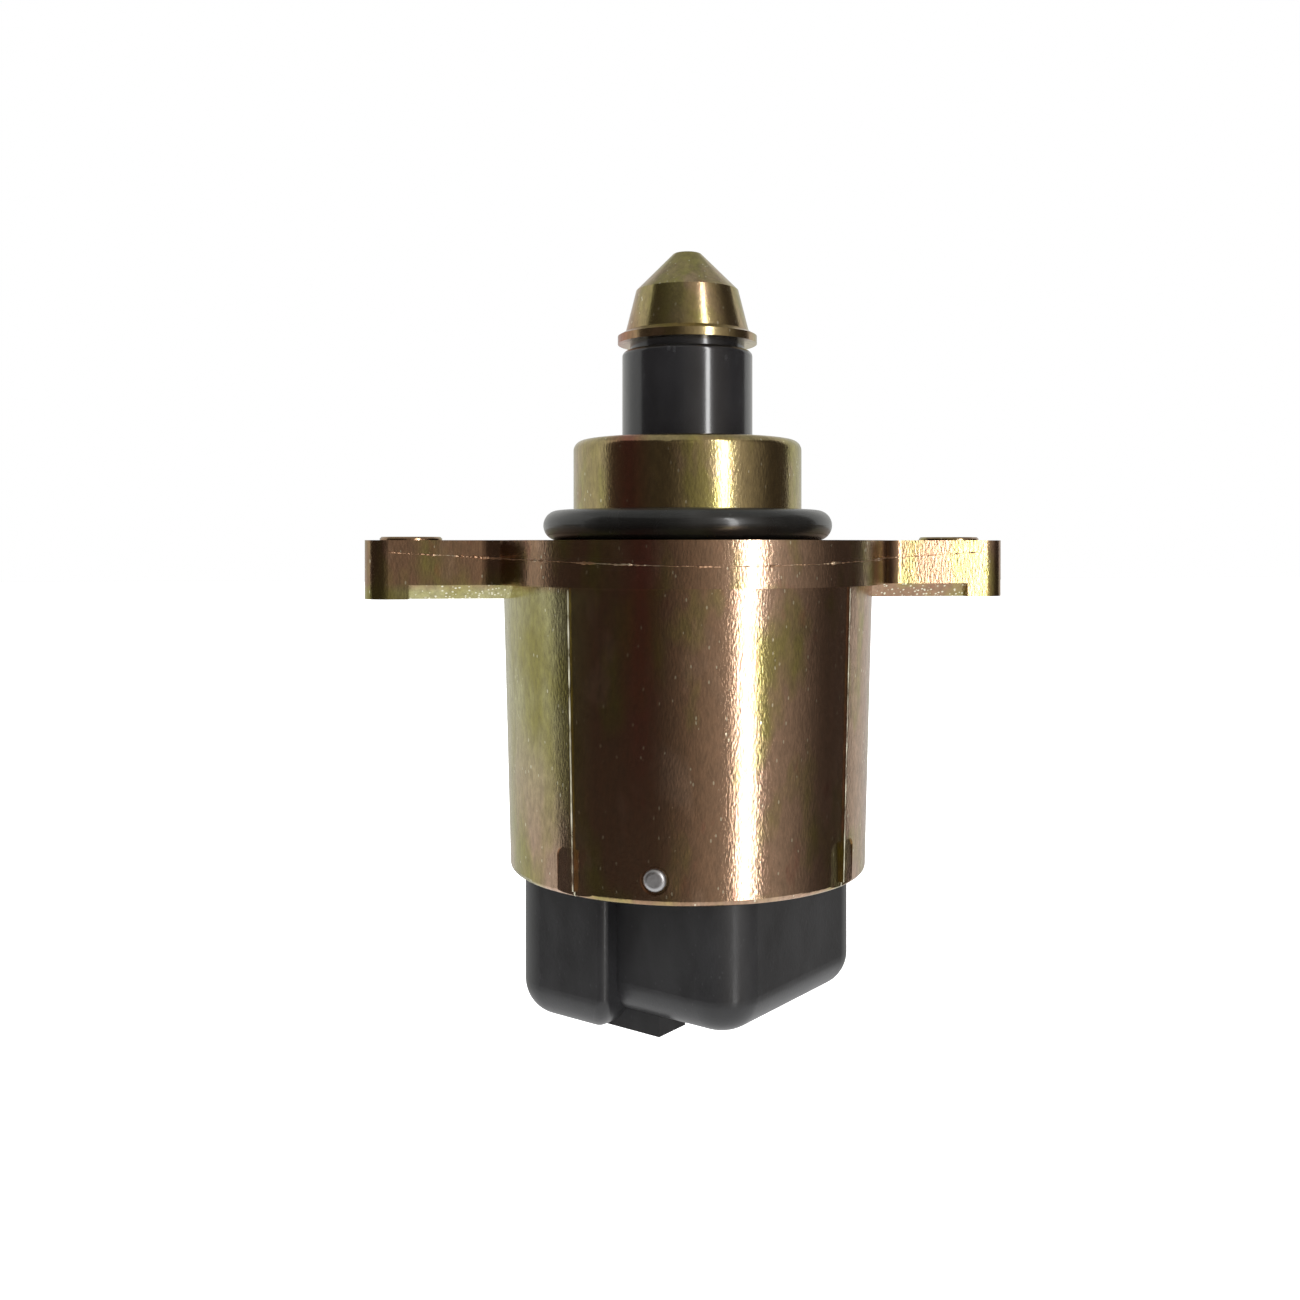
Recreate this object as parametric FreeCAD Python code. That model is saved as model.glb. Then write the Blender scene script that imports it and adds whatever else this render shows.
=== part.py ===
import FreeCAD, Part
import math
import os
from FreeCAD import Vector

# Idle air control valve: a stepping motor in a die-cast housing drives a screw that moves a
# conical pintle. Millimetres, +Z towards the pintle, z = 0 on the mounting face of the flange,
# X along the two ears. Directions round the axis are in degrees, 0 along +X and -90 along -Y.

# Running and sliding clearances
slide_clearance = 0.05
gap_clearance = 0.1
key_side_clearance = 0.12
race_clearance = 0.03
air_gap = 0.3

# Travel of the pintle from the rest position
travel_out = 4.0
travel_in = 4.0

# Flange, spigot and can of the housing: a round waist with two thicker ears
flange_length = 56.6
flange_waist_radius = 17.6
flange_waist_thickness = 3.8
ear_width = 9.4
ear_thickness = 5.0
ear_corner_radius = 2.05
ear_root_radius = 2.0
chamfer_end = 24.55
bolt_spacing = 49.0
bolt_hole_radius = 2.25
bolt_rim_width = 0.45
bolt_rim_height = 0.3
spigot_radius = 10.22
spigot_height = 8.9
spigot_bore_radius = 7.2
spigot_edge_radius = 0.9
can_top_radius = 16.45
can_bottom_radius = 15.8
can_bottom = -28.9
can_bore_radius = 14.5
can_edge_radius = 0.5
roof_thickness = 5.1
ridge_width = 0.3
ridge_height = 0.12
ridge_angles = (-135.0, -45.0, 45.0, 135.0)
flat_width = 3.6
flat_height = 3.95
flat_depth = 0.1

# Seal round the spigot, on a shallow turned seat
ring_section = 2.7
ring_face_gap = 0.02
seal_seat_depth = 0.05

# Pintle and plunger
tip_height = 25.8
tip_radius = 1.2
seat_cone_base = 22.4
seat_cone_radius = 4.6
skirt_base = 18.7
skirt_radius = 5.54
collar_base = 17.6
collar_radius = 6.25
collar_thickness = 0.7
neck_radius = 5.15
neck_height = 0.65
tip_edge_radius = 0.4
sleeve_radius = 5.85
sleeve_wall = 1.2
sleeve_bottom = 0.0
sleeve_roof = 1.55
sleeve_edge_radius = 0.5
key_width = 1.5
key_height = 3.4
key_proud = 0.8
key_angles = (0.0, 180.0)

# Screw and the nut that drives it
screw_radius = 1.95
screw_reach = 22.0
screw_bottom = -18.5
nut_top = -11.8
nut_length = 4.5
nut_flats = 6.2

# Spring round the screw
spring_wire = 0.7
spring_radius = 3.35
spring_turns = 7
spring_points = 16

# Guide bush in the spigot
bush_recess = 0.5
bush_flange_radius = 8.2
bush_flange_thickness = 0.9
bush_lip = 1.0

# Front bearing stack
seat_washer_thickness = 0.4
seat_washer_play = 0.5
wave_washer_space = 0.5
wave_washer_thickness = 0.15
wave_count = 3
bearing_bore_radius = 4.0
bearing_outer_radius = 7.0
bearing_width = 3.5
bearing_wall_share = 0.28
race_depth = 0.24
ball_count = 7
cage_wall_share = 0.6
cage_rail = 0.3
carrier_lip = 0.4
carrier_lip_width = 0.6
carrier_hub_wall = 1.6
carrier_web = 1.2
carrier_rim_wall = 1.5
carrier_rib_count = 6
carrier_rib_width = 1.4

# Stator: two phases, each of an outer cup and an inner pole plate with interleaved claws
phase_height = 6.0
sheet = 0.8
claws_per_plate = 6
claw_root_width = 3.3
claw_tip_width = 1.9
claw_tip_gap = 0.9
cup_wall = 0.8
bobbin_wall = 0.6
winding_depth = 3.2

# Rotor
magnet_radius = 7.4
magnet_bore_radius = 4.9
magnet_length = 10.6
hub_foot_radius = 6.0
hub_foot_thickness = 0.6
hub_bore_radius = 2.2
rear_journal_radius = 2.8
thrust_washer_thickness = 0.3
thrust_washer_edge = 0.5
rear_bush_wall = 1.35
rear_bush_length = 1.6
plate_thickness = 0.7
plate_collar_wall = 0.7
plate_collar_length = 1.0

# Connector moulding, turned by 45 degrees to the ears
connector_turn = -45.0
shell_left = -10.5
shell_right = 11.9
shell_half_depth = 10.5
shell_wall = 3.1
shell_rim = -40.0
shell_corner_radius = 3.6
shell_edge_radius = 3.1
socket_corner_radius = 1.2
socket_floor = -26.8
lobe_proud = 1.7
lobe_side = 0.2
lobe_rim = -41.4
lobe_corner_radius = 3.6
lobe_side_radius = 0.7
guide_face = -4.6
rib_side = 3.5
rib_face = -5.2
plug_recess_radius = 5.6
plug_recess_depth = 1.4
plug_seal_section = 1.2
plug_seal_height = -24.7

# Terminals: blades in the socket, cranked out to the coils
blade_thickness = 0.64
blade_width = 1.8
blade_tip = -34.3
blade_spread = 7.2
blade_pitch = 5.8
blade_centre_far = 1.4
crank_height = -25.85
tail_spread = 20.6
tail_entry = 1.0
post_radius = 1.3
blade_taper = 0.5

# Pins that hold the moulding in the can
pin_radius = 0.95
pin_height = -26.8
pin_angle = -108.9
pin_count = 3
pin_seat_radius = 1.18
pin_seat_depth = 0.25
pin_inner_end = 11.8

# Heights that follow from the sizes above
roof = -roof_thickness
carrier_top_shelf = roof - bush_flange_thickness
seat_washer_bottom = carrier_top_shelf - seat_washer_thickness
bearing_top = seat_washer_bottom - wave_washer_space
bearing_bottom = bearing_top - bearing_width
stator_top = bearing_bottom - carrier_lip
stator_middle = stator_top - phase_height
stator_bottom = stator_middle - phase_height
plug_top = stator_bottom - plate_thickness
pole_radius = magnet_radius + air_gap
claw_outer_radius = pole_radius + sheet
bearing_pitch_radius = (bearing_bore_radius + bearing_outer_radius) / 2
bearing_ring_wall = bearing_wall_share * (bearing_outer_radius - bearing_bore_radius)
race_space = bearing_outer_radius - bearing_bore_radius - 2 * bearing_ring_wall
ball_radius = race_space / 2 + race_depth
cage_wall = cage_wall_share * race_space
cage_height = 2 * (ball_radius + cage_rail)
sleeve_top = collar_base - neck_height
can_fit_radius = can_bore_radius - slide_clearance
bush_bore_radius = sleeve_radius + slide_clearance


def turned(profile):
    """Solid of revolution about Z from corner points (radius, height)."""
    points = [Vector(r, 0, z) for r, z in profile]
    face = Part.Face(Part.makePolygon(points + points[:1]))
    return face.revolve(Vector(0, 0, 0), Vector(0, 0, 1), 360)


def ring(outer_radius, inner_radius, bottom, top):
    """Plain ring between two heights."""
    return turned([(inner_radius, bottom), (outer_radius, bottom), (outer_radius, top), (inner_radius, top)])


def rod(radius, bottom, top):
    """Plain cylinder on the axis."""
    return Part.makeCylinder(radius, top - bottom, Vector(0, 0, bottom))


def turn(shape, angle):
    """Copy of a shape, turned about Z."""
    copy = shape.copy()
    copy.rotate(Vector(0, 0, 0), Vector(0, 0, 1), angle)
    return copy


def circle_edges(shape, radius, height):
    """Round edges of one radius at one height."""
    found = []
    for edge in shape.Edges:
        if not isinstance(edge.Curve, Part.Circle):
            continue
        if abs(edge.Curve.Radius - radius) < 0.001 and abs(edge.Curve.Center.z - height) < 0.001:
            found.append(edge)
    return found


def level_edges(shape, height):
    """Edges that lie wholly at one height."""
    return [e for e in shape.Edges if max(abs(e.BoundBox.ZMin - height), abs(e.BoundBox.ZMax - height)) < 0.001]


def upright_edges(shape):
    """Straight edges that run along Z."""
    return [e for e in shape.Edges if e.BoundBox.XLength < 0.001 and e.BoundBox.YLength < 0.001]


def block(x0, x1, y0, y1, z0, z1):
    """Box between two corners."""
    return Part.makeBox(x1 - x0, y1 - y0, z1 - z0, Vector(x0, y0, z0))


def can_radius(height):
    """Outer radius of the tapered can wall at a height."""
    share = (height + flange_waist_thickness) / (can_bottom + flange_waist_thickness)
    return can_top_radius + (can_bottom_radius - can_top_radius) * share


def arc(centre, radius, start, end):
    """Arc round a centre between two directions in degrees, and its two end points."""
    def point(angle):
        way = math.radians(angle)
        return Vector(centre[0] + radius * math.cos(way), centre[1] + radius * math.sin(way), 0)

    return Part.Arc(point(start), point((start + end) / 2), point(end)).toShape(), point(start), point(end)


def flange_outline():
    """Round waist with two straight ears, hollow curves at their roots and rounded corners."""
    half = ear_width / 2
    root_y = half + ear_root_radius
    root_x = math.sqrt((flange_waist_radius + ear_root_radius) ** 2 - root_y ** 2)
    root_angle = math.degrees(math.atan2(root_y, root_x))
    corner = (flange_length / 2 - ear_corner_radius, half - ear_corner_radius)
    waist, waist_start, waist_end = arc((0, 0), flange_waist_radius, root_angle, 180 - root_angle)
    root, root_start, root_end = arc((root_x, root_y), ear_root_radius, 180 + root_angle, 270)
    bend, bend_start, bend_end = arc(corner, ear_corner_radius, 90, 0)
    side = Part.LineSegment(root_end, bend_start).toShape()
    end = Part.LineSegment(bend_end, Vector(bend_end.x, 0, 0)).toShape()
    edges = []
    for edge in (root, side, bend, end):
        flipped = edge.mirror(Vector(0, 0, 0), Vector(0, 1, 0))
        for copy in (edge, flipped):
            edges += [copy, copy.mirror(Vector(0, 0, 0), Vector(1, 0, 0))]
    edges += [waist, waist.mirror(Vector(0, 0, 0), Vector(0, 1, 0))]
    return Part.Face(Part.Wire(Part.__sortEdges__(edges)))


def ear_pad():
    """Lower layer of both ears as one bar through the can, its sides sloped up to the bolt holes."""
    half = ear_width / 2
    drop = ear_thickness - flange_waist_thickness
    bar = rounded_block(-flange_length / 2, flange_length / 2, -half, half,
                        -ear_thickness, -flange_waist_thickness, ear_corner_radius)
    for side in (-1, 1):
        slope = [(side * half, -flange_waist_thickness), (side * half, -ear_thickness),
                 (side * (half - drop), -ear_thickness)]
        points = [Vector(-chamfer_end, y, z) for y, z in slope]
        wedge = Part.Face(Part.makePolygon(points + points[:1])).extrude(Vector(2 * chamfer_end, 0, 0))
        bar = bar.cut(wedge)
    return bar


def flange_plate():
    """Flange: the whole outline at the thickness of the waist, and the lower layer of the ears."""
    return flange_outline().extrude(Vector(0, 0, -flange_waist_thickness)).fuse(ear_pad())


def can_ridge():
    """Fine raised line down the can, where the slides of the casting die met."""
    low = can_bottom + can_edge_radius
    root = can_bore_radius + gap_clearance
    outline = [(root, -flange_waist_thickness), (can_top_radius + ridge_height, -flange_waist_thickness),
               (can_radius(low) + ridge_height, low), (root, low)]
    points = [Vector(r, -ridge_width / 2, z) for r, z in outline]
    return Part.Face(Part.makePolygon(points + points[:1])).extrude(Vector(0, ridge_width, 0))


def foot_flat():
    """Cutter for a shallow flat at the foot of the can, with round top corners."""
    floor = can_bottom_radius - flat_depth
    top = can_bottom + flat_height
    reach = 2 * can_edge_radius + flat_depth
    cutter = block(floor, floor + reach, -flat_width / 2, flat_width / 2, can_bottom - reach, top)
    corners = [e for e in cutter.Edges if e.BoundBox.XLength > reach / 2 and e.BoundBox.ZMin > top - 0.001]
    return cutter.makeFillet(flat_width / 5, corners)


def pin_angles():
    """Directions of the retaining pins."""
    return [pin_angle + 360 / pin_count * i for i in range(pin_count)]


def housing():
    """Flange, spigot and can: one casting, bored from the connector end."""
    inside = -flange_waist_thickness / 2
    body = turned([(0, can_bottom), (can_bottom_radius, can_bottom), (can_top_radius, -flange_waist_thickness),
                   (can_top_radius, inside), (spigot_radius, inside), (spigot_radius, spigot_height),
                   (0, spigot_height)])
    body = body.makeFillet(spigot_edge_radius, circle_edges(body, spigot_radius, spigot_height))
    body = body.makeFillet(can_edge_radius, circle_edges(body, can_bottom_radius, can_bottom))
    body = body.fuse(flange_plate())
    for angle in ridge_angles:
        body = body.cut(turn(foot_flat(), angle))
    body = body.fuse([turn(can_ridge(), angle) for angle in ridge_angles])
    for side in (-1, 1):
        place = Vector(side * bolt_spacing / 2, 0, 0)
        rim = Part.makeCylinder(bolt_hole_radius + bolt_rim_width, bolt_rim_height, place)
        hole = Part.makeCylinder(bolt_hole_radius, 3 * ear_thickness, place - Vector(0, 0, 2 * ear_thickness))
        body = body.fuse(rim.makeChamfer(bolt_rim_height / 2, level_edges(rim, bolt_rim_height))).cut(hole)
    seat_radius = spigot_radius + ring_section + 2 * gap_clearance
    body = body.cut(ring(seat_radius, spigot_radius, -seal_seat_depth, 1))
    body = body.cut(rod(can_bore_radius, can_bottom - 1, roof))
    body = body.cut(rod(spigot_bore_radius, roof - 1, spigot_height + 1))
    for angle in pin_angles():
        start = Vector(pin_inner_end, 0, pin_height)
        drill = Part.makeCylinder(pin_radius, can_top_radius, start, Vector(1, 0, 0))
        seat_start = Vector(can_radius(pin_height) - pin_seat_depth, 0, pin_height)
        seat = Part.makeCylinder(pin_seat_radius, can_top_radius, seat_start, Vector(1, 0, 0))
        body = body.cut(turn(drill.fuse(seat), angle))
    return body.removeSplitter()


def flange_o_ring():
    """Seal lying on its seat in the mounting face, round the spigot."""
    section = ring_section / 2
    centre = Vector(0, 0, section + ring_face_gap - seal_seat_depth)
    return Part.makeTorus(spigot_radius + section, section, centre)


def pintle():
    """Turned valve cone with a skirt and a collar, bored for the screw."""
    collar_top = collar_base + collar_thickness
    body = turned([(0, collar_base), (collar_radius, collar_base), (collar_radius, collar_top),
                   (skirt_radius, skirt_base), (seat_cone_radius, seat_cone_base),
                   (tip_radius, tip_height), (0, tip_height)])
    body = body.makeFillet(tip_edge_radius, circle_edges(body, tip_radius, tip_height))
    return body.cut(rod(screw_radius, collar_base - 1, screw_reach))


def plunger_sleeve():
    """Moulded sleeve with a neck under the pintle and two guide keys at its foot."""
    bore = sleeve_radius - sleeve_wall
    roof_under = sleeve_top - sleeve_roof
    body = turned([(bore, sleeve_bottom), (sleeve_radius, sleeve_bottom), (sleeve_radius, sleeve_top),
                   (neck_radius, sleeve_top), (neck_radius, collar_base), (screw_radius, collar_base),
                   (screw_radius, roof_under), (bore, roof_under)])
    body = body.makeFillet(sleeve_edge_radius, circle_edges(body, sleeve_radius, sleeve_top))
    middle = sleeve_radius - sleeve_wall / 2
    key_top = sleeve_bottom + key_height
    key = block(middle, sleeve_radius + key_proud, -key_width / 2, key_width / 2, sleeve_bottom, key_top)
    return body.fuse([turn(key, angle) for angle in key_angles])


def guide_bush():
    """Bush in the spigot bore, with blind slots that stop the plunger from turning."""
    top = spigot_height - bush_recess
    body = turned([(bush_bore_radius, carrier_top_shelf), (bush_flange_radius, carrier_top_shelf),
                   (bush_flange_radius, roof), (spigot_bore_radius, roof), (spigot_bore_radius, top),
                   (bush_bore_radius, top)])
    slot_end = min(sleeve_bottom + key_height + travel_out + 2 * gap_clearance, top - bush_lip)
    half = key_width / 2 + key_side_clearance
    reach = sleeve_radius + key_proud + gap_clearance
    slot = block(bush_bore_radius - 1, reach, -half, half, carrier_top_shelf - 1, slot_end)
    for angle in key_angles:
        body = body.cut(turn(slot, angle))
    return body


def lead_screw():
    """Threaded spindle at its outer diameter, with a lead-in at the foot."""
    body = rod(screw_radius, screw_bottom, screw_reach)
    return body.makeChamfer(screw_radius / 4, circle_edges(body, screw_radius, screw_bottom))


def return_spring():
    """Compression spring between the seat washer and the roof of the sleeve."""
    wire_radius = spring_wire / 2
    bottom = carrier_top_shelf + wire_radius + slide_clearance
    top = sleeve_top - sleeve_roof - wire_radius - slide_clearance
    steps = spring_turns * spring_points
    points = []
    for i in range(steps + 1):
        angle = 2 * math.pi * i / spring_points
        height = bottom + (top - bottom) * i / steps
        points.append(Vector(spring_radius * math.cos(angle), spring_radius * math.sin(angle), height))
    coil = Part.BSplineCurve()
    coil.interpolate(points)
    section = Part.Wire(Part.makeCircle(wire_radius, points[0], coil.tangent(coil.FirstParameter)[0]))
    return Part.Wire(coil.toShape()).makePipeShell([section], True, True)


def seat_washer():
    """Washer that carries the foot of the spring."""
    return ring(bearing_outer_radius, screw_radius + seat_washer_play, seat_washer_bottom, carrier_top_shelf)


def wave_washer():
    """Spring washer with three waves that loads the bearing."""
    middle = (seat_washer_bottom + bearing_top) / 2 - wave_washer_thickness / 2
    height = (wave_washer_space - wave_washer_thickness) / 2 - slide_clearance / 2

    def wavy_edge(radius):
        points = []
        steps = 8 * wave_count
        for i in range(steps):
            angle = 2 * math.pi * i / steps
            z = middle + height * math.cos(wave_count * angle)
            points.append(Vector(radius * math.cos(angle), radius * math.sin(angle), z))
        curve = Part.BSplineCurve()
        curve.interpolate(points, PeriodicFlag=True)
        return curve.toShape()

    outer = wavy_edge(bearing_outer_radius - 2 * gap_clearance)
    inner = wavy_edge(bearing_outer_radius - bearing_ring_wall)
    return Part.makeRuledSurface(outer, inner).extrude(Vector(0, 0, wave_washer_thickness))


def race():
    """Groove that the balls run in, shared by both bearing rings."""
    centre = Vector(0, 0, bearing_bottom + bearing_width / 2)
    return Part.makeTorus(bearing_pitch_radius, ball_radius + race_clearance, centre)


def bearing_outer_ring():
    """Outer ring, fixed in the carrier."""
    bore = bearing_outer_radius - bearing_ring_wall
    return ring(bearing_outer_radius, bore, bearing_bottom, bearing_top).cut(race())


def bearing_inner_ring():
    """Inner ring, fixed on the rotor."""
    outside = bearing_bore_radius + bearing_ring_wall
    return ring(outside, bearing_bore_radius, bearing_bottom, bearing_top).cut(race())


def bearing_ball():
    """One ball at angle 0."""
    return Part.makeSphere(ball_radius, Vector(bearing_pitch_radius, 0, bearing_bottom + bearing_width / 2))


def bearing_cage():
    """Ring with one round pocket for each ball."""
    middle = bearing_bottom + bearing_width / 2
    inner = bearing_pitch_radius - cage_wall / 2
    body = ring(inner + cage_wall, inner, middle - cage_height / 2, middle + cage_height / 2)
    start = Vector(inner - cage_wall, 0, middle)
    pocket = Part.makeCylinder(ball_radius + slide_clearance, 3 * cage_wall, start, Vector(1, 0, 0))
    for i in range(ball_count):
        body = body.cut(turn(pocket, 360 / ball_count * i))
    return body


def bearing_carrier():
    """End bell that holds the bearing: hub, web and rim with ribs in the pocket between them."""
    hub = bearing_outer_radius + carrier_hub_wall
    rim = can_fit_radius - carrier_rim_wall
    web = roof - carrier_web
    body = turned([(bearing_outer_radius, carrier_top_shelf), (bush_flange_radius, carrier_top_shelf),
                   (bush_flange_radius, roof), (can_fit_radius, roof), (can_fit_radius, stator_top),
                   (rim, stator_top), (rim, web), (hub, web), (hub, stator_top),
                   (bearing_outer_radius - carrier_lip_width, stator_top),
                   (bearing_outer_radius - carrier_lip_width, bearing_bottom),
                   (bearing_outer_radius, bearing_bottom)])
    inside = bearing_outer_radius + carrier_hub_wall / 2
    rib = block(inside, rim + carrier_rim_wall / 2, -carrier_rib_width / 2, carrier_rib_width / 2, stator_top, web)
    return body.fuse([turn(rib, 360 / carrier_rib_count * i) for i in range(carrier_rib_count)])


def claw(root, reach):
    """One tapered claw bent up from the inner edge of a plate, at angle 0."""
    outline = [(-claw_root_width / 2, root), (claw_root_width / 2, root),
               (claw_tip_width / 2, reach), (-claw_tip_width / 2, reach)]
    points = [Vector(pole_radius / 2, y, z) for y, z in outline]
    wedge = Part.Face(Part.makePolygon(points + points[:1])).extrude(Vector(pole_radius, 0, 0))
    low, high = sorted((root, reach))
    return wedge.common(ring(claw_outer_radius, pole_radius, low, high))


def pole_plate(disc_bottom, outer_radius, claw_up, first_angle):
    """Flat pole disc with its claws; the claws stop short of the facing disc."""
    disc = ring(outer_radius, pole_radius, disc_bottom, disc_bottom + sheet)
    span = phase_height - 2 * sheet - claw_tip_gap
    root = disc_bottom + sheet if claw_up else disc_bottom
    reach = root + span if claw_up else root - span
    finger = claw(disc_bottom + sheet / 2, reach)
    step = 360 / claws_per_plate
    return disc.fuse([turn(finger, first_angle + step * i) for i in range(claws_per_plate)])


def stator_cup(disc_bottom, wall_bottom, claw_up, first_angle):
    """Outer cup of a phase: a pole plate with a cylindrical wall round the coil."""
    body = pole_plate(disc_bottom, can_fit_radius, claw_up, first_angle)
    return body.fuse(ring(can_fit_radius, can_fit_radius - cup_wall, wall_bottom, wall_bottom + phase_height))


def upper_stator_cup():
    """Cup of the upper phase, its claws down."""
    return stator_cup(stator_top - sheet, stator_middle, False, 0)


def upper_pole_plate():
    """Inner plate of the upper phase, its claws up between those of the cup."""
    half_step = 180 / claws_per_plate
    return pole_plate(stator_middle, can_fit_radius - cup_wall, True, half_step)


def lower_pole_plate():
    """Inner plate of the lower phase, its claws down, a quarter step on."""
    quarter_step = 90 / claws_per_plate
    return pole_plate(stator_middle - sheet, can_fit_radius - cup_wall, False, quarter_step)


def lower_stator_cup():
    """Lower cup, drilled for the posts of the lower bobbin."""
    three_quarters = 270 / claws_per_plate
    body = stator_cup(stator_bottom, stator_bottom, True, three_quarters)
    for x, y in tail_places():
        start = Vector(x, y, stator_bottom - sheet / 2)
        body = body.cut(Part.makeCylinder(post_radius + gap_clearance, 2 * sheet, start))
    return body


def bobbin(bottom):
    """Moulded spool between the two discs of a phase."""
    inner = claw_outer_radius + gap_clearance
    outer = can_fit_radius - cup_wall - gap_clearance
    top = bottom + phase_height - 2 * sheet
    return turned([(inner, bottom), (outer, bottom), (outer, bottom + bobbin_wall),
                   (inner + bobbin_wall, bottom + bobbin_wall), (inner + bobbin_wall, top - bobbin_wall),
                   (outer, top - bobbin_wall), (outer, top), (inner, top)])


def winding(bottom):
    """Wound wire as one ring between the cheeks of a bobbin."""
    inner = claw_outer_radius + gap_clearance + bobbin_wall
    top = bottom + phase_height - 2 * sheet
    body = ring(inner + winding_depth, inner, bottom + bobbin_wall, top - bobbin_wall)
    outer_edges = [e for e in body.Edges if e.BoundBox.XLength > 2 * inner + winding_depth]
    return body.makeFillet(bobbin_wall / 2, outer_edges)


def lower_bobbin(terminals):
    """Lower spool with four posts that take the tails of the terminals."""
    body = bobbin(stator_bottom + sheet)
    overlap = bobbin_wall / 2
    for x, y in tail_places():
        height = stator_bottom + sheet + overlap - plug_top
        body = body.fuse(Part.makeCylinder(post_radius, height, Vector(x, y, plug_top)))
    for terminal in terminals:
        body = body.cut(terminal)
    return body


def rotor_hub():
    """Moulded hub: front journal, barrel, foot and rear journal, hollow for nut and screw."""
    barrel_top = bearing_bottom
    magnet_bottom = magnet_top() - magnet_length
    foot = magnet_bottom - hub_foot_thickness
    body = turned([(hub_bore_radius, rear_journal_end()), (rear_journal_radius, rear_journal_end()),
                   (rear_journal_radius, foot), (hub_foot_radius, foot), (hub_foot_radius, magnet_bottom),
                   (magnet_bore_radius, magnet_bottom), (magnet_bore_radius, barrel_top),
                   (bearing_bore_radius, barrel_top), (bearing_bore_radius, bearing_top + slide_clearance),
                   (hub_bore_radius, bearing_top + slide_clearance)])
    return body.cut(nut_blank())


def magnet_top():
    """Upper end of the magnet, just under the lip of the bearing carrier."""
    return stator_top - 2 * gap_clearance


def rear_journal_end():
    """Lower end of the rotor, just inside the rear bush."""
    return stator_bottom - rear_bush_length + gap_clearance


def nut_blank():
    """Hexagonal nut before it is threaded."""
    corner = nut_flats / 2 / math.cos(math.pi / 6)
    angles = [math.pi / 3 * i for i in range(6)]
    points = [Vector(corner * math.cos(angle), corner * math.sin(angle), nut_top) for angle in angles]
    return Part.Face(Part.makePolygon(points + points[:1])).extrude(Vector(0, 0, -nut_length))


def rotor_nut():
    """Nut moulded into the hub."""
    return nut_blank().cut(rod(screw_radius + slide_clearance, nut_top - nut_length - 1, nut_top + 1))


def ring_magnet():
    """Magnet ring on the hub, level with the claws."""
    return ring(magnet_radius, magnet_bore_radius, magnet_top() - magnet_length, magnet_top())


def thrust_washer():
    """Washer between the rotor foot and the rear bush."""
    top = magnet_top() - magnet_length - hub_foot_thickness - slide_clearance
    bottom = max(stator_bottom, top - thrust_washer_thickness)
    outer = rear_journal_radius + rear_bush_wall + thrust_washer_edge
    return ring(outer, rear_journal_radius + gap_clearance, bottom, top)


def rear_bush():
    """Plain bearing of the rear journal."""
    bore = rear_journal_radius + slide_clearance
    return ring(rear_journal_radius + rear_bush_wall, bore, stator_bottom - rear_bush_length, stator_bottom)


def rear_plate():
    """End plate of the motor with a drawn collar round the bush."""
    bush = rear_journal_radius + rear_bush_wall
    low = plug_top - plate_collar_length
    body = turned([(bush, low), (bush + plate_collar_wall, low), (bush + plate_collar_wall, plug_top),
                   (can_fit_radius, plug_top), (can_fit_radius, stator_bottom), (bush, stator_bottom)])
    for x, y in tail_places():
        start = Vector(x, y, plug_top - plate_thickness / 2)
        body = body.cut(Part.makeCylinder(post_radius + gap_clearance, 2 * plate_thickness, start))
    return body


def turned_place(x, y):
    """Point of the connector's own axes, turned into the axes of the valve."""
    angle = math.radians(connector_turn)
    return x * math.cos(angle) - y * math.sin(angle), x * math.sin(angle) + y * math.cos(angle)


def blade_places():
    """Centre of each blade and of its tail, in the connector's own axes."""
    middle = (shell_left + shell_right) / 2
    places = []
    for side in (-1, 1):
        for row in (-1, 1):
            y = blade_centre_far + row * blade_pitch / 2
            places.append((middle + side * blade_spread / 2, side * tail_spread / 2, y))
    return places


def tail_places():
    """Centres of the terminal tails in the axes of the valve."""
    return [turned_place(tail, y) for blade, tail, y in blade_places()]


def terminal(blade, tail, y):
    """Cranked strip: blade below, crank inside the moulding, tail up into the bobbin."""
    half = blade_thickness / 2
    way = 1 if tail > blade else -1
    tail_top = plug_top + tail_entry
    inner = [(blade - way * half, blade_tip), (blade - way * half, crank_height + half),
             (tail - way * half, crank_height + half), (tail - way * half, tail_top)]
    outer = [(tail + way * half, tail_top), (tail + way * half, crank_height - half),
             (blade + way * half, crank_height - half), (blade + way * half, blade_tip)]
    points = [Vector(x, y - blade_width / 2, z) for x, z in inner + outer]
    body = Part.Face(Part.makePolygon(points + points[:1])).extrude(Vector(0, blade_width, 0))
    tip = [e for e in level_edges(body, blade_tip) if e.BoundBox.YLength < 0.001]
    body = body.makeChamfer(blade_taper, tip)
    return turn(body, connector_turn)


def rounded_block(x0, x1, y0, y1, z0, z1, corner):
    """Box with rounded upright corners."""
    body = block(x0, x1, y0, y1, z0, z1)
    return body.makeFillet(corner, upright_edges(body))


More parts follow.
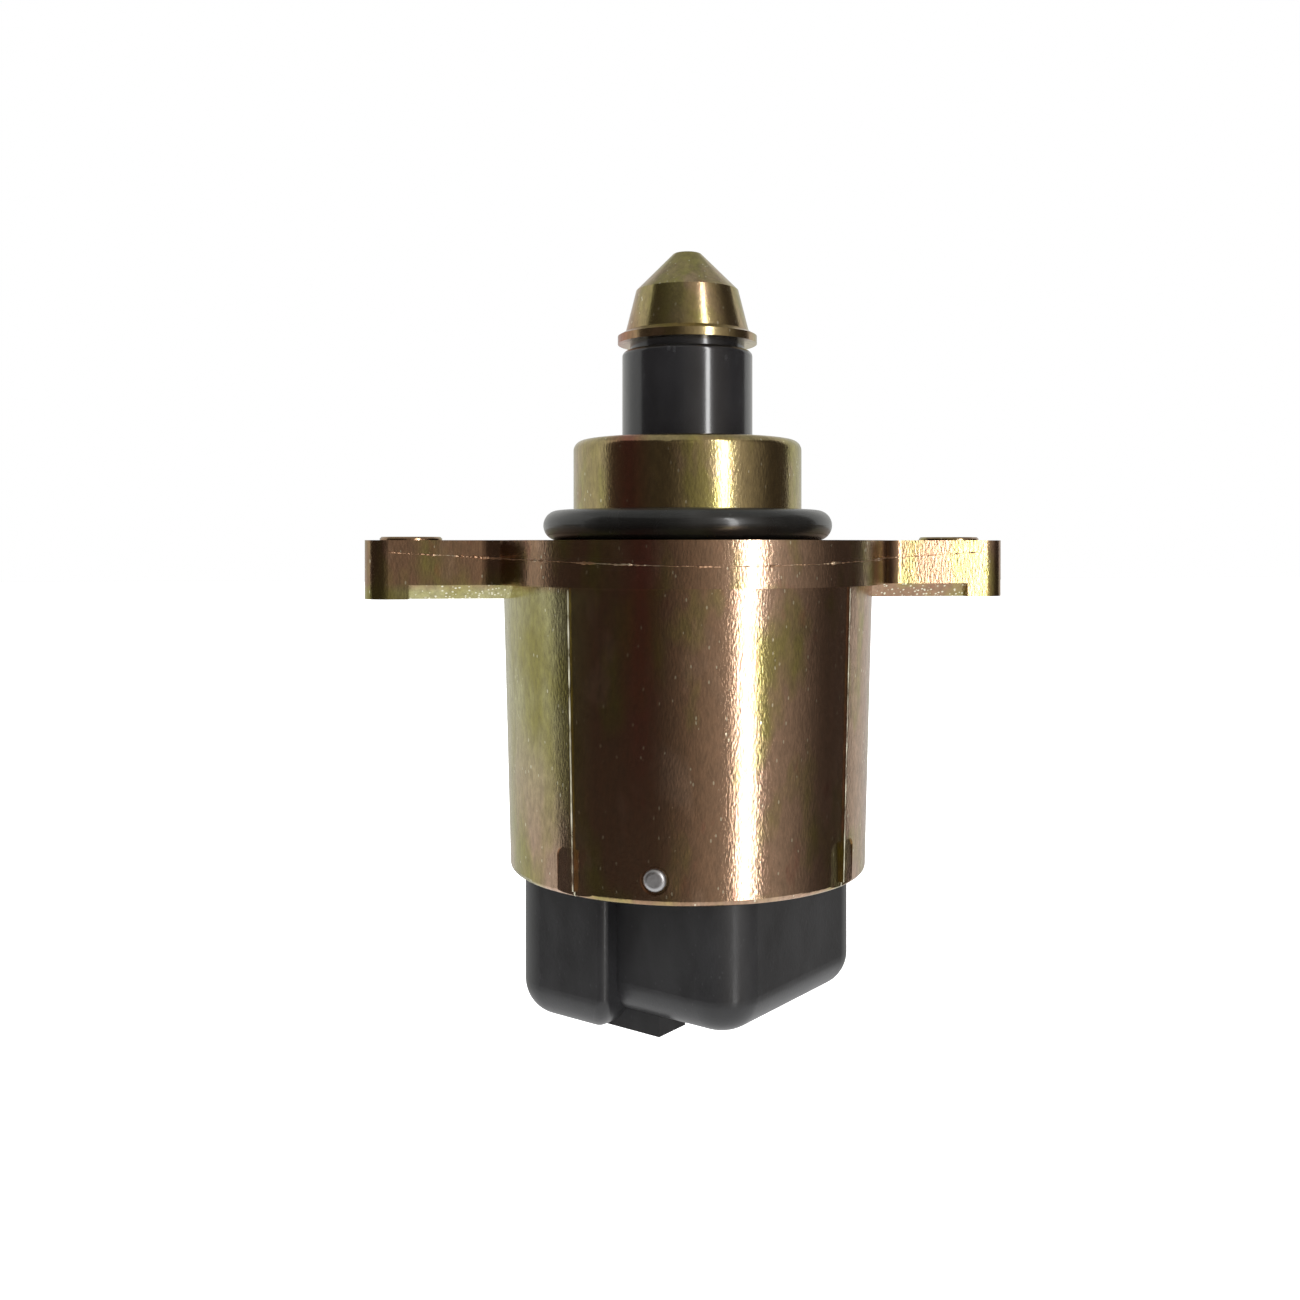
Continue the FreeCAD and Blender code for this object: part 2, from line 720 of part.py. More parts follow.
def connector_shell():
    """Outside of the connector below the can: rounded box with a proud lobe on one half."""
    box = rounded_block(shell_left, shell_right, -shell_half_depth, shell_half_depth,
                        shell_rim, socket_floor, shell_corner_radius)
    box = box.makeFillet(shell_edge_radius, level_edges(box, shell_rim))
    near = -shell_half_depth - lobe_proud
    lobe_top = can_bottom - slide_clearance
    lobe = block(shell_left, lobe_side, near, -shell_half_depth + shell_wall, lobe_rim, lobe_top)
    front = [e for e in upright_edges(lobe) if e.BoundBox.YMin < near + 0.001]
    lobe = lobe.makeFillet(lobe_corner_radius, [e for e in front if e.BoundBox.XMin < shell_left + 0.001])
    front = [e for e in upright_edges(lobe) if e.BoundBox.YMin < near + 0.001]
    lobe = lobe.makeFillet(lobe_side_radius, [e for e in front if e.BoundBox.XMax > lobe_side - 0.001])
    foot = [e for e in level_edges(lobe, lobe_rim)
            if e.BoundBox.YMin < near + lobe_corner_radius and e.BoundBox.XMin < lobe_side - 0.001]
    return box.fuse(lobe.makeFillet(shell_edge_radius, foot))


def socket_guide():
    """Guide that fills the near side of the socket behind the lobe, and a lower rib beside it."""
    inside = -shell_half_depth + shell_wall / 2
    top = socket_floor + shell_wall / 2
    guide = block(shell_left + shell_wall / 2, lobe_side, inside, guide_face, lobe_rim, top)
    rib = block(lobe_side - shell_wall, rib_side, inside, rib_face, lobe_rim, top)
    return guide.fuse(rib)


def connector_housing(terminals):
    """Round plug in the can, rectangular shell below it, socket with blades and an inner rib."""
    plug_bottom = can_bottom + can_edge_radius
    groove = can_bore_radius - plug_seal_section
    seal_half = plug_seal_section / 2 + gap_clearance
    plug = turned([(0, plug_top - plug_recess_depth), (plug_recess_radius, plug_top - plug_recess_depth),
                   (plug_recess_radius, plug_top), (can_fit_radius, plug_top),
                   (can_fit_radius, plug_seal_height + seal_half), (groove, plug_seal_height + seal_half),
                   (groove, plug_seal_height - seal_half), (can_fit_radius, plug_seal_height - seal_half),
                   (can_fit_radius, plug_bottom), (0, plug_bottom)])
    shell = connector_shell()
    socket = rounded_block(shell_left + shell_wall, shell_right - shell_wall, -shell_half_depth + shell_wall,
                           shell_half_depth - shell_wall, lobe_rim - 1, socket_floor, socket_corner_radius)
    body = plug.fuse(turn(shell, connector_turn)).cut(turn(socket, connector_turn))
    body = body.fuse(turn(socket_guide(), connector_turn))
    for angle in pin_angles():
        start = Vector(pin_inner_end, 0, pin_height)
        drill = Part.makeCylinder(pin_radius, can_bore_radius, start, Vector(1, 0, 0))
        body = body.cut(turn(drill, angle))
    for strip in terminals:
        body = body.cut(strip)
    return body


def connector_seal():
    """Seal between the plug and the bore of the can."""
    section = plug_seal_section / 2
    return Part.makeTorus(can_bore_radius - section, section, Vector(0, 0, plug_seal_height))


def retaining_pin():
    """Pin with a domed head, driven through the can into the moulding."""
    head = can_radius(pin_height) - pin_seat_depth
    dome = pin_radius / 2
    length = head + dome - pin_inner_end
    body = Part.makeCylinder(pin_radius, length, Vector(pin_inner_end, 0, pin_height), Vector(1, 0, 0))
    ends = [e for e in body.Edges if e.BoundBox.XMin > head and e.BoundBox.YLength > pin_radius]
    return body.makeFillet(dome * 0.9, ends)


def write(name, shape):
    """Save one piece, after a check that it is sound."""
    if not shape.isValid():
        raise ValueError(name + " is not a valid solid")
    solids = shape.Solids
    piece = solids[0] if len(solids) == 1 else Part.makeCompound(solids)
    piece.exportStep(os.path.join("parts", name + ".step"))
    print(f"{name}: {len(solids)} solid, {shape.Volume:.1f} mm3")


def main():
    os.makedirs("parts", exist_ok=True)
    terminals = [terminal(blade, tail, y) for blade, tail, y in blade_places()]
    write("housing", housing())
    write("flange_o_ring", flange_o_ring())
    write("pintle", pintle())
    write("plunger_sleeve", plunger_sleeve())
    write("guide_bush", guide_bush())
    write("lead_screw", lead_screw())
    write("return_spring", return_spring())
    write("spring_seat_washer", seat_washer())
    write("wave_washer", wave_washer())
    write("bearing_outer_ring", bearing_outer_ring())
    write("bearing_inner_ring", bearing_inner_ring())
    write("bearing_cage", bearing_cage())
    for i in range(ball_count):
        write(f"bearing_ball_{i + 1}", turn(bearing_ball(), 360 / ball_count * i))
    write("bearing_carrier", bearing_carrier())
    write("upper_stator_cup", upper_stator_cup())
    write("upper_pole_plate", upper_pole_plate())
    write("lower_pole_plate", lower_pole_plate())
    write("lower_stator_cup", lower_stator_cup())
    write("upper_bobbin", bobbin(stator_middle + sheet))
    write("lower_bobbin", lower_bobbin(terminals))
    write("upper_winding", winding(stator_middle + sheet))
    write("lower_winding", winding(stator_bottom + sheet))
    write("rotor_hub", rotor_hub())
    write("rotor_nut", rotor_nut())
    write("ring_magnet", ring_magnet())
    write("thrust_washer", thrust_washer())
    write("rear_bush", rear_bush())
    write("rear_plate", rear_plate())
    write("connector_housing", connector_housing(terminals))
    write("connector_seal_ring", connector_seal())
    for i, strip in enumerate(terminals):
        write(f"terminal_{i + 1}", strip)
    for i, angle in enumerate(pin_angles()):
        write(f"retaining_pin_{i + 1}", turn(retaining_pin(), angle))


main()
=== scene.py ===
import math

import bmesh
import bpy
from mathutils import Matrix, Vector, noise


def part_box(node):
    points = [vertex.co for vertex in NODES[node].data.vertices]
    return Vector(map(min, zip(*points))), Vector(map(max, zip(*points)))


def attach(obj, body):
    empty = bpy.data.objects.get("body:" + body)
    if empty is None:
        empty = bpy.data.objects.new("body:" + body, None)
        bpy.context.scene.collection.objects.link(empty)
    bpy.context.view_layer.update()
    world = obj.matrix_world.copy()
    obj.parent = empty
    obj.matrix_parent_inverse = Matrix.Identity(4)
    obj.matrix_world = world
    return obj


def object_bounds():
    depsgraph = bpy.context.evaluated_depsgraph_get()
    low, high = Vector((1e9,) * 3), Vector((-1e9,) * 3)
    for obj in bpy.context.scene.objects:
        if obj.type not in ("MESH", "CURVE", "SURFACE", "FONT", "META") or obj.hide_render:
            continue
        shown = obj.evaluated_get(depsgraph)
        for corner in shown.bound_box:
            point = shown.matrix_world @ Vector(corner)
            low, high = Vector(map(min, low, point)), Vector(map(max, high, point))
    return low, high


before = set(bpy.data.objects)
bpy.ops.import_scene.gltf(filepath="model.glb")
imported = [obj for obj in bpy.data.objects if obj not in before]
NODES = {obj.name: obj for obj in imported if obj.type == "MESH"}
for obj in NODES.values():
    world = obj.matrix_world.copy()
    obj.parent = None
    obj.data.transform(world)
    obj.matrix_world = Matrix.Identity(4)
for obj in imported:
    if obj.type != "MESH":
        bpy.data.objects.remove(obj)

bl_info = {
    "name": "Idle air control valve finish",
    "version": (1, 0, 0),
    "blender": (4, 5, 0),
    "location": "View3D > Sidebar > Valve",
    "description": "Finishes, trim and studio for the idle air control valve",
    "category": "Object",
}

MM = 0.001
CAD_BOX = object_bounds()

# The photograph's view: frame width in pixels, focal length in those pixels, the height of the
# horizon and the column of the valve's axis, and the size of a pixel in the plane of the axis
PHOTO_WIDTH = 1300
PHOTO_FOCAL = 1368
PHOTO_HORIZON = 543.7
PHOTO_AXIS_COLUMN = 687.25
PHOTO_PIXEL = 0.09 * MM

# Angle in degrees by which the valve is turned to the camera, and the camera's height over the
# mounting face
CAMERA_TURN = 8.0
CAMERA_HEIGHT = -0.3 * MM

# Room: edges of its dim side as azimuths in degrees, radius, reach below and above the mounting
# face, and the window strip with its halo
ROOM_LEFT = -89.0
ROOM_RIGHT = 119.0
ROOM_RADIUS = 1.60
ROOM_BELOW = 0.85
ROOM_ABOVE = 1.35
ROOM_STEPS = 40
STRIP_AZIMUTH = 34.6
STRIP_DISTANCE = 1.50
STRIP_HEIGHT = 0.2
HALO_HALF = 55.0

# Outline of the flange, in millimetres: half length, round waist, straight ears, the hollow at
# their roots and their corners
FLANGE_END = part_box("housing")[1][0] / MM
WAIST_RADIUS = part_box("housing")[1][1] / MM
EAR_HALF = 4.7
EAR_ROOT = 2.0
EAR_CORNER = 2.05

# Torn flash on the flange: step along it in millimetres, height of its line at the waist, rise of
# the line towards the ears, and how deep it sits in the casting
FLASH_STEP = 0.12
FLASH_MIDDLE = -2.1 * MM
FLASH_RISE = 1.2 * MM
FLASH_ROOT = 0.1 * MM

# Where the film on the casting changes: top of the ridges, underside of the ears, the red streak
RIDGE_TOP = -4 * MM
EAR_UNDERSIDE = -3.83 * MM
STREAK_COLUMN = -6.3 * MM


def colour_property(name, description, default):
    return bpy.props.FloatVectorProperty(
        name=name, description=description, subtype="COLOR", size=4, min=0, max=1, default=default)


def length_property(name, description, default):
    return bpy.props.FloatProperty(
        name=name, description=description, unit="LENGTH", subtype="DISTANCE", default=default)


def share_property(name, description, default):
    return bpy.props.FloatProperty(
        name=name, description=description, subtype="FACTOR", min=0, max=1, default=default)


class ChromateLooks(bpy.types.PropertyGroup):
    brown: colour_property("Brown", "Main tone of the chromate film", (0.45, 0.28, 0.175, 1))
    olive: colour_property("Olive", "Green-gold tone of the thicker film", (0.44, 0.40, 0.13, 1))
    sage: colour_property("Sage", "Grey-green tone on the left", (0.60, 0.57, 0.30, 1))
    gold: colour_property("Gold", "Yellower tone of the spigot and the pintle", (0.56, 0.47, 0.22, 1))
    rose: colour_property("Rose", "Pink tone of the thinner film", (0.62, 0.43, 0.31, 1))
    red: colour_property("Red", "Red interference streaks", (0.50, 0.15, 0.12, 1))
    # Painted shade: a darker tone laid into the grain's hollows to stand in for their shade
    grain_shade: colour_property("Hollow", "Dark tone in the hollows of the grain", (0.16, 0.12, 0.08, 1))
    bare: colour_property("Bare zinc", "Zinc on worn and broken edges", (0.90, 0.86, 0.66, 1))
    patch_size: length_property("Patch size", "Size of the cloudy colour patches", 7 * MM)
    grain_size: length_property("Grain size", "Size of the casting's grain", 0.20 * MM)
    grain_depth: length_property("Grain depth", "Depth of the casting's grain", 0.0105 * MM)
    roughness: share_property("Roughness", "Roughness of the film", 0.19)


class BlackLooks(bpy.types.PropertyGroup):
    moulding: colour_property("Moulding", "Black of the plug moulding", (0.011, 0.011, 0.012, 1))
    sleeve: colour_property("Sleeve", "Black of the plunger sleeve", (0.010, 0.010, 0.011, 1))
    rubber: colour_property("Rubber", "Black of the seals", (0.007, 0.007, 0.0065, 1))
    bush: colour_property("Bush", "Grey-black of the guide bush", (0.05, 0.05, 0.05, 1))
    grain_size: length_property("Grain size", "Size of the moulding's eroded grain", 0.22 * MM)


class InnerLooks(bpy.types.PropertyGroup):
    steel: colour_property("Steel", "Pressed and turned steel", (0.56, 0.56, 0.57, 1))
    ground: colour_property("Ground steel", "Rings and balls of the bearing", (0.66, 0.66, 0.67, 1))
    spring: colour_property("Spring steel", "Spring and wave washer", (0.42, 0.42, 0.43, 1))
    tin: colour_property("Tin", "Blades of the plug", (0.72, 0.71, 0.68, 1))
    carrier: colour_property("Carrier", "Cast bearing carrier", (0.55, 0.55, 0.56, 1))
    brass: colour_property("Brass", "Nut, cage and washer", (0.76, 0.58, 0.28, 1))
    bronze: colour_property("Bronze", "Sintered rear bush", (0.50, 0.33, 0.16, 1))
    copper: colour_property("Copper", "Enamelled winding wire", (0.72, 0.30, 0.12, 1))
    nylon: colour_property("Nylon", "Bobbins", (0.72, 0.68, 0.56, 1))
    hub: colour_property("Hub", "Rotor hub moulding", (0.16, 0.12, 0.08, 1))
    ferrite: colour_property("Ferrite", "Rotor magnet", (0.045, 0.045, 0.048, 1))


class StageLooks(bpy.types.PropertyGroup):
    floor_drop: length_property("Floor drop", "Height of the mounting face above the floor", 86 * MM)
    floor: colour_property("Floor", "Pale floor", (0.86, 0.86, 0.86, 1))
    speckle: colour_property("Floor speckle", "Slightly darker specks of the floor", (0.8, 0.8, 0.8, 1))
    room: colour_property("Room", "Dim side of the room behind the camera", (0.075, 0.060, 0.052, 1))
    halo: colour_property("Halo", "Glow of the room round the window strip", (0.50, 0.45, 0.40, 1))
    ceiling: colour_property("Ceiling", "Ceiling that the upper faces reflect", (0.50, 0.50, 0.48, 1))
    far_side: colour_property("Far side", "Pale side of the room beyond it", (0.85, 0.85, 0.82, 1))
    sky: share_property("Sky", "Strength of the soft light from all round", 0.62)


def looks(group):
    """Settings of one property group."""
    return getattr(bpy.context.scene, group)


# Shader building


def new_group(name, inputs, outputs):
    """Shader node group with named sockets; returns the group, its input node and output node."""
    group = bpy.data.node_groups.new(name, "ShaderNodeTree")
    for label, kind, default in inputs:
        socket = group.interface.new_socket(name=label, in_out="INPUT", socket_type=kind)
        socket.default_value = default
    for label, kind in outputs:
        group.interface.new_socket(name=label, in_out="OUTPUT", socket_type=kind)
    return group, group.nodes.new("NodeGroupInput"), group.nodes.new("NodeGroupOutput")


def feed(tree, socket, source):
    """Links a socket to the one that it reads, or gives it a plain value."""
    if isinstance(source, bpy.types.NodeSocket):
        tree.links.new(source, socket)
    else:
        socket.default_value = source


def add_node(tree, kind, links, **settings):
    """Node with its settings and what its sockets are fed."""
    node = tree.nodes.new(kind)
    for key, value in settings.items():
        setattr(node, key, value)
    for key, source in links.items():
        feed(tree, node.inputs[key], source)
    return node


def math_node(tree, operation, first, second=0.0):
    return add_node(tree, "ShaderNodeMath", {0: first, 1: second}, operation=operation).outputs[0]


def times(tree, first, second):
    return math_node(tree, "MULTIPLY", first, second)


def scaled(tree, vector, factors):
    links = {0: vector, 1: factors}
    return add_node(tree, "ShaderNodeVectorMath", links, operation="MULTIPLY").outputs[0]


def mix_colour(tree, share, first, second):
    node = add_node(tree, "ShaderNodeMix", {0: share, 6: first, 7: second}, data_type="RGBA")
    return node.outputs[2]


def ramp(tree, value, low, high, start=0.0, end=1.0):
    """Value stretched so that low gives start and high gives end, and held beyond them."""
    links = {"Value": value, "From Min": low, "From Max": high, "To Min": start, "To Max": end}
    return add_node(tree, "ShaderNodeMapRange", links, clamp=True).outputs[0]


def object_point(tree):
    return tree.nodes.new("ShaderNodeTexCoord").outputs["Object"]


def noise_value(tree, point, scale, detail=2.0, rough=0.5):
    links = {"Vector": point, "Scale": scale, "Detail": detail, "Roughness": rough}
    return add_node(tree, "ShaderNodeTexNoise", links).outputs["Fac"]


def make_cloud_group():
    """Cloudy mask of large soft patches, streaked a little along Z."""
    group, start, end = new_group(
        "cloud",
        [("Scale", "NodeSocketFloat", 100.0), ("Offset", "NodeSocketVector", (0, 0, 0)),
         ("Low", "NodeSocketFloat", 0.4), ("High", "NodeSocketFloat", 0.6)],
        [("Mask", "NodeSocketFloat")])
    links = {0: object_point(group), 1: start.outputs["Offset"]}
    moved = add_node(group, "ShaderNodeVectorMath", links, operation="ADD")
    drawn = scaled(group, moved.outputs[0], (1, 1, 0.45))
    cloud = noise_value(group, drawn, start.outputs["Scale"], 3.0, 0.55)
    mask = ramp(group, cloud, start.outputs["Low"], start.outputs["High"])
    group.links.new(mask, end.inputs["Mask"])


def make_grain_group():
    """Fine grain drawn out along Z: a height for the bump, mottling and sparse bright specks."""
    group, start, end = new_group(
        "grain",
        [("Scale", "NodeSocketFloat", 6000.0), ("Speck Share", "NodeSocketFloat", 0.1),
         ("Stretch", "NodeSocketVector", (1, 1, 0.6))],
        [("Height", "NodeSocketFloat"), ("Specks", "NodeSocketFloat"), ("Mottle", "NodeSocketFloat")])
    scale = start.outputs["Scale"]
    point = scaled(group, object_point(group), start.outputs["Stretch"])
    fine = noise_value(group, point, scale, 3.0, 0.6)
    pits = add_node(group, "ShaderNodeTexVoronoi", {"Vector": point, "Scale": scale})
    distance = pits.outputs["Distance"]
    height = math_node(group, "ADD", fine, times(group, distance, 0.5))
    random_cell = add_node(group, "ShaderNodeSeparateColor", {0: pits.outputs["Color"]}).outputs[0]
    share = math_node(group, "SUBTRACT", 1.0, start.outputs["Speck Share"])
    chosen = math_node(group, "GREATER_THAN", random_cell, share)
    near = math_node(group, "LESS_THAN", distance, 0.35)
    coarse = noise_value(group, point, times(group, scale, 0.4), 4.0, 0.7)
    group.links.new(height, end.inputs["Height"])
    group.links.new(times(group, chosen, near), end.inputs["Specks"])
    group.links.new(ramp(group, coarse, 0.32, 0.68), end.inputs["Mottle"])


def make_seam_group():
    """Mask of the fine raised lines down the can, where the slides of the die met."""
    group, start, end = new_group(
        "seams", [("Width", "NodeSocketFloat", 0.11 * MM)], [("Mask", "NodeSocketFloat")])
    point = object_point(group)
    side = add_node(group, "ShaderNodeSeparateXYZ", {0: point})
    across = math_node(group, "ABSOLUTE", side.outputs["X"])
    along = math_node(group, "ABSOLUTE", side.outputs["Y"])
    off = math_node(group, "ABSOLUTE", math_node(group, "SUBTRACT", across, along))
    thin = math_node(group, "LESS_THAN", off, start.outputs["Width"])
    low = math_node(group, "LESS_THAN", side.outputs["Z"], RIDGE_TOP)
    broken = ramp(group, noise_value(group, point, 600.0, 3.0), 0.25, 0.60)
    group.links.new(times(group, times(group, thin, low), broken), end.inputs["Mask"])


def make_torn_group():
    """Mask of the rough granular faces of the ears: the sloped lower edges and the ends."""
    group, start, end = new_group(
        "torn_faces",
        [("Slope Start", "NodeSocketFloat", 16.4 * MM), ("Slope End", "NodeSocketFloat", 24.55 * MM),
         ("Ear End", "NodeSocketFloat", 28.2 * MM)],
        [("Mask", "NodeSocketFloat")])
    side = add_node(group, "ShaderNodeSeparateXYZ", {0: object_point(group)})
    across = math_node(group, "ABSOLUTE", side.outputs["X"])
    under = math_node(group, "LESS_THAN", side.outputs["Z"], EAR_UNDERSIDE)
    ends = math_node(group, "GREATER_THAN", across, start.outputs["Ear End"])
    out = math_node(group, "GREATER_THAN", across, start.outputs["Slope Start"])
    short = math_node(group, "LESS_THAN", across, start.outputs["Slope End"])
    slope = times(group, times(group, out, short), under)
    group.links.new(math_node(group, "MAXIMUM", slope, ends), end.inputs["Mask"])


GROUP_MAKERS = {
    "cloud": make_cloud_group,
    "grain": make_grain_group,
    "seams": make_seam_group,
    "torn_faces": make_torn_group,
}


def place_group(tree, name, **values):
    """Instance of a shared effect with its own values; the effect is built when first placed."""
    if name not in bpy.data.node_groups:
        GROUP_MAKERS[name]()
    node = tree.nodes.new("ShaderNodeGroup")
    node.node_tree = bpy.data.node_groups[name]
    for key, value in values.items():
        feed(tree, node.inputs[key.replace("_", " ").title()], value)
    return node


def new_material(name):
    """Empty node material; returns the material, its tree and its Principled node."""
    material = bpy.data.materials.new(name)
    material.use_nodes = True
    tree = material.node_tree
    return material, tree, tree.nodes["Principled BSDF"]


def bump(tree, principled, height, distance, strength=1.0):
    links = {"Height": height, "Distance": distance, "Strength": strength}
    node = add_node(tree, "ShaderNodeBump", links)
    tree.links.new(node.outputs["Normal"], principled.inputs["Normal"])


# Materials


def film_colour(tree, film):
    """Clouded tones of the chromate film, from one region of the valve to the next."""
    side = add_node(tree, "ShaderNodeSeparateXYZ", {0: object_point(tree)})
    across = side.outputs["X"]
    height = side.outputs["Z"]

    def cloud(factor, offset, low, high):
        patches = place_group(
            tree, "cloud", scale=factor / film.patch_size, offset=offset, low=low, high=high)
        return patches.outputs["Mask"]

    inside_ears = ramp(tree, math_node(tree, "ABSOLUTE", across), 17 * MM, 15 * MM)
    right = times(tree, ramp(tree, across, -3 * MM, 3 * MM), inside_ears)
    base = mix_colour(tree, times(tree, right, 0.75), tuple(film.brown), tuple(film.rose))

    above_flange = ramp(tree, height, 0.0, 1 * MM)
    base = mix_colour(tree, times(tree, above_flange, 0.8), base, tuple(film.gold))
    olive_share = times(tree, cloud(1.5, (0.031, 0.002, 0.011), 0.50, 0.64), 0.85)
    base = mix_colour(tree, olive_share, base, tuple(film.olive))
    rose_share = times(tree, cloud(2.2, (0.003, 0.047, 0.023), 0.56, 0.68), 0.6)
    base = mix_colour(tree, rose_share, base, tuple(film.rose))

    off_streak = math_node(tree, "ABSOLUTE", math_node(tree, "ADD", across, -STREAK_COLUMN))
    streak = times(tree, ramp(tree, off_streak, 1.8 * MM, 0.2 * MM),
                   ramp(tree, height, -24 * MM, -10 * MM))
    blush = times(tree, cloud(3.0, (0.05, 0.02, 0.04), 0.62, 0.74), 0.4)
    red_share = math_node(tree, "MAXIMUM", times(tree, streak, 0.75), blush)
    base = mix_colour(tree, red_share, base, tuple(film.red))

    on_can = ramp(tree, height, -3.6 * MM, -4.4 * MM)
    left = times(tree, ramp(tree, across, -9.6 * MM, -11.8 * MM), on_can)
    downwards = ramp(tree, height, -14 * MM, -26 * MM)
    left_film = mix_colour(tree, downwards, tuple(film.sage), tuple(film.rose))
    patches = cloud(1.2, (0.01, 0.06, 0.03), 0.42, 0.62)
    left_film = mix_colour(tree, patches, left_film, tuple(film.olive))
    return mix_colour(tree, left, base, left_film)


def chromate_material(name, cast=True):
    """Yellow-chromated zinc with grain and specks; on the casting also ridges and torn faces."""
    film = looks("valve_chromate")
    material, tree, principled = new_material(name)
    base = film_colour(tree, film)
    grain = place_group(
        tree, "grain", scale=1 / film.grain_size, speck_share=0.03, stretch=(1, 1, 0.45))
    mottle = grain.outputs["Mottle"]
    # Painted shade: the film is darkened towards the grain-shade tone where the grain's mottle is low
    base = mix_colour(tree, mottle, mix_colour(tree, 0.45, base, tuple(film.grain_shade)), base)
    bare_share = times(tree, grain.outputs["Specks"], 0.6)
    rough = math_node(tree, "ADD", times(tree, mottle, -0.05), film.roughness + 0.03)
    height = grain.outputs["Height"]
    if cast:
        seams = place_group(tree, "seams").outputs["Mask"]
        torn = place_group(tree, "torn_faces").outputs["Mask"]
        coarse = place_group(tree, "grain", scale=3600.0, speck_share=0.35, stretch=(1, 1, 1))
        glitter = times(tree, torn, coarse.outputs["Specks"])
        bare_share = math_node(tree, "MAXIMUM", bare_share, times(tree, seams, 0.9))
        bare_share = math_node(tree, "MAXIMUM", bare_share, glitter)
        rough = math_node(tree, "ADD", rough, times(tree, torn, 0.15))
        metallic = math_node(tree, "ADD", times(tree, seams, -0.55), 1.0)
        tree.links.new(metallic, principled.inputs["Metallic"])
        raised = times(tree, times(tree, coarse.outputs["Height"], torn), 3.0)
        height = math_node(tree, "ADD", height, raised)
        depth = film.grain_depth
    else:
        principled.inputs["Metallic"].default_value = 1.0
        depth = film.grain_depth / 3
    base = mix_colour(tree, bare_share, base, tuple(film.bare))
    tree.links.new(base, principled.inputs["Base Color"])
    tree.links.new(rough, principled.inputs["Roughness"])
    bump(tree, principled, height, depth)
    return material


def broken_edge_material():
    """Rough film where the casting's flash was torn off, bright zinc where it tore deepest."""
    film = looks("valve_chromate")
    material, tree, principled = new_material("torn_edge")
    grain = place_group(tree, "grain", scale=4200.0, speck_share=0.3)
    torn = ramp(tree, noise_value(tree, object_point(tree), 160.0, 3.0, 0.7), 0.52, 0.60)
    bright = times(tree, torn, grain.outputs["Mottle"])
    base = mix_colour(tree, bright, tuple(film.brown), tuple(film.bare))
    tree.links.new(base, principled.inputs["Base Color"])
    principled.inputs["Metallic"].default_value = 1.0
    principled.inputs["Roughness"].default_value = 0.42
    bump(tree, principled, grain.outputs["Height"], 0.05 * MM, 0.9)
    return material


def moulding_material(name, colour, grain_size, roughness, depth, coat=0.0, specular=0.35):
    """Moulded plastic or rubber with a fine grain and faint cloudiness."""
    material, tree, principled = new_material(name)
    grain = place_group(tree, "grain", scale=1 / grain_size, speck_share=0.04)
    cloud = place_group(tree, "cloud", scale=260.0, offset=(0.012, 0.04, 0.0), low=0.35, high=0.7)
    lighter = tuple(min(1.0, channel * 1.5 + 0.004) for channel in colour[:3]) + (1,)
    dusty = tuple(min(1.0, channel * 2.5 + 0.02) for channel in colour[:3]) + (1,)
    base = mix_colour(tree, cloud.outputs["Mask"], tuple(colour), lighter)
    base = mix_colour(tree, times(tree, grain.outputs["Specks"], 0.3), base, dusty)
    tree.links.new(base, principled.inputs["Base Color"])
    rough = math_node(tree, "ADD", times(tree, cloud.outputs["Mask"], 0.07), roughness)
    tree.links.new(rough, principled.inputs["Roughness"])
    principled.inputs["Specular IOR Level"].default_value = specular
    principled.inputs["Coat Weight"].default_value = coat
    principled.inputs["Coat Roughness"].default_value = 0.12
    bump(tree, principled, grain.outputs["Height"], depth, 0.6)
    return material


def metal_material(name, colour, roughness, streak=(1, 1, 1), depth=0.004 * MM):
    """Worked metal with fine streaks and cloudy tarnish."""
    material, tree, principled = new_material(name)
    lines = noise_value(tree, scaled(tree, object_point(tree), streak), 2200.0, 3.0, 0.6)
    cloud = place_group(tree, "cloud", scale=240.0, offset=(0.02, 0.01, 0.05), low=0.3, high=0.75)
    dark = tuple(channel * 0.72 for channel in colour[:3]) + (1,)
    base = mix_colour(tree, cloud.outputs["Mask"], tuple(colour), dark)
    tree.links.new(base, principled.inputs["Base Color"])
    rough = math_node(tree, "ADD", times(tree, lines, 0.16), roughness - 0.08)
    tree.links.new(rough, principled.inputs["Roughness"])
    principled.inputs["Metallic"].default_value = 1.0
    bump(tree, principled, lines, depth, 0.7)
    return material


def named(stem):
    """CAD nodes whose names start with a stem, in order."""
    return sorted(name for name in NODES if name.startswith(stem))


def assign(names, material):
    """Gives CAD nodes their finish."""
    for name in names:
        node = NODES[name]
        node.data.materials.clear()
        node.data.materials.append(material)


# Pieces


